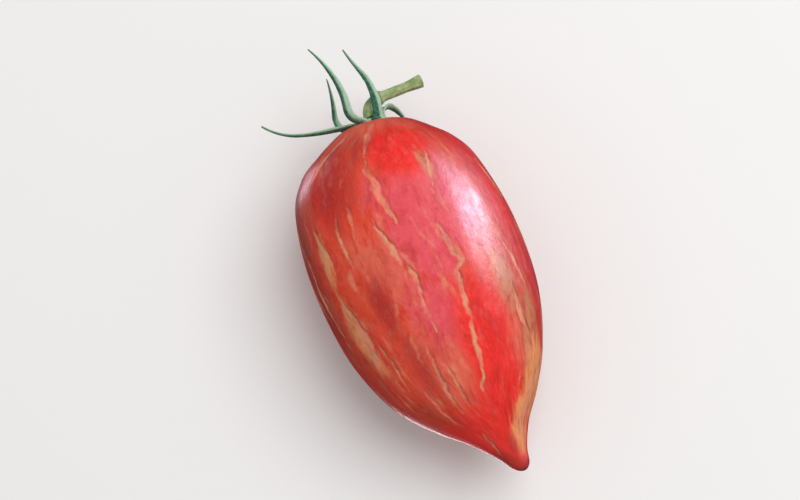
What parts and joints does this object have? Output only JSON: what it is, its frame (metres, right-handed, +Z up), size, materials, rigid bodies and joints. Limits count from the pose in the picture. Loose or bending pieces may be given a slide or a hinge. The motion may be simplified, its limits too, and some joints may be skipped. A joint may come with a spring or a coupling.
{
  "type": "tomato",
  "caption": "Long ripe plum tomato with a beaked tip, striped skin, green calyx and stub of fruit stalk, lying on its side.",
  "frame": {"origin": "middle of the small flat spot on the berry's side that it rests on, at the height of the surface", "axes": "+Z up from the surface, +X from the beaked tip towards the stalk, +Y completes the right hand"},
  "size_m": [0.1307, 0.0598, 0.0578],
  "materials": {
    "tomato_skin": null,
    "calyx_leaf": null,
    "stalk_skin": null
  },
  "bodies": {
    "root": {"berry": "tomato_skin", "calyx": "calyx_leaf", "fruit_stalk": "stalk_skin"}
  },
  "joints": []
}
